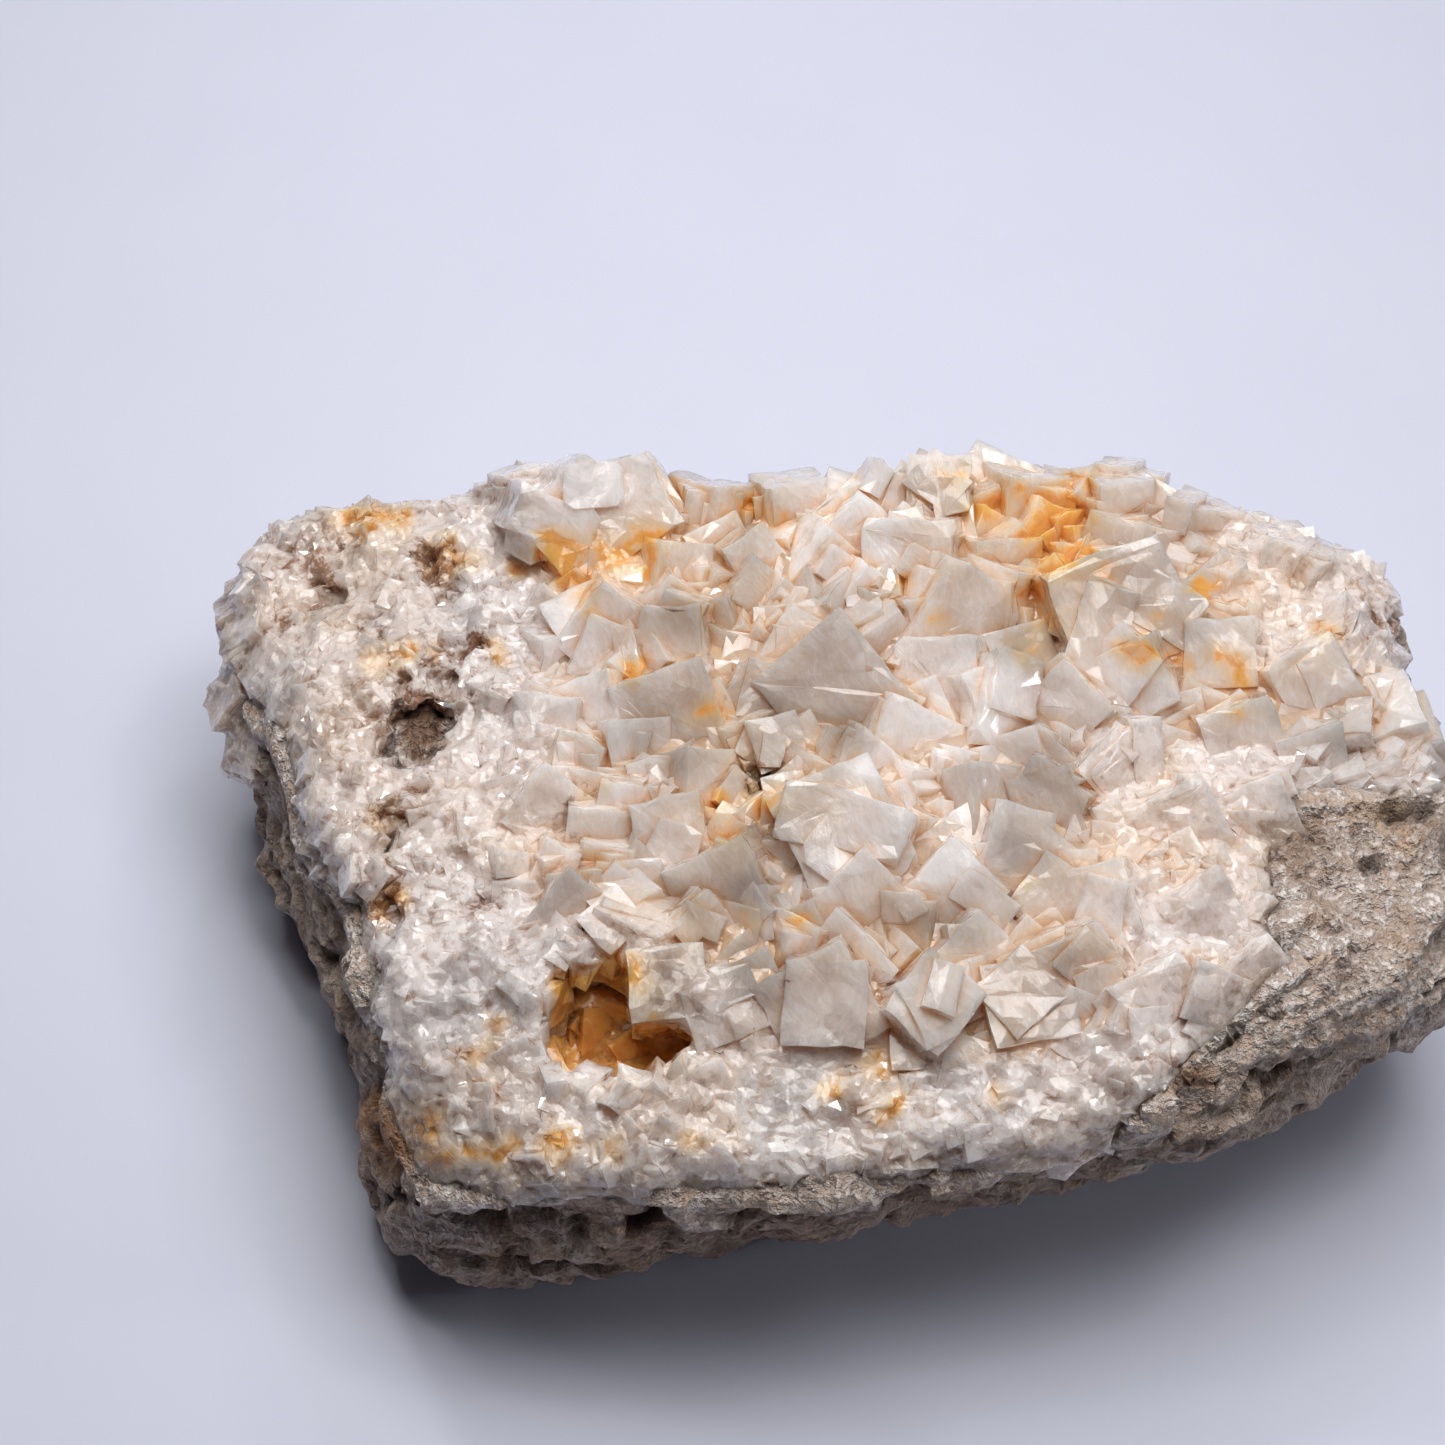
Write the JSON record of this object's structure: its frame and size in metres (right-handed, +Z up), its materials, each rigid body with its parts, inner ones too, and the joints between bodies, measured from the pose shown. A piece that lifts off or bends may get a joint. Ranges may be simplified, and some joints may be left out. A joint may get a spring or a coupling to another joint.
{
  "type": "fluorite specimen",
  "caption": "Loose hand-size block of granular host rock with a pale druse of intergrown fluorite cubes on top, iron-stained joints and a small crystal-lined pocket.",
  "frame": {"origin": "middle of the bounding box in plan, on the resting face", "axes": "+X along the length towards the bare, pointed end, +Y across the depth away from the pocket's side, +Z up through the crystal field"},
  "size_m": [0.1217, 0.0789, 0.041],
  "materials": {
    "rock": "rough, granular, broken",
    "fluorite": "translucent, glassy crystal faces and sugary grains",
    "stained_fluorite": "glassy, iron-stained"
  },
  "bodies": {
    "root": {"host_rock": "rock", "fluorite_crust": "fluorite", "pocket_crystals": "stained_fluorite"}
  },
  "joints": []
}
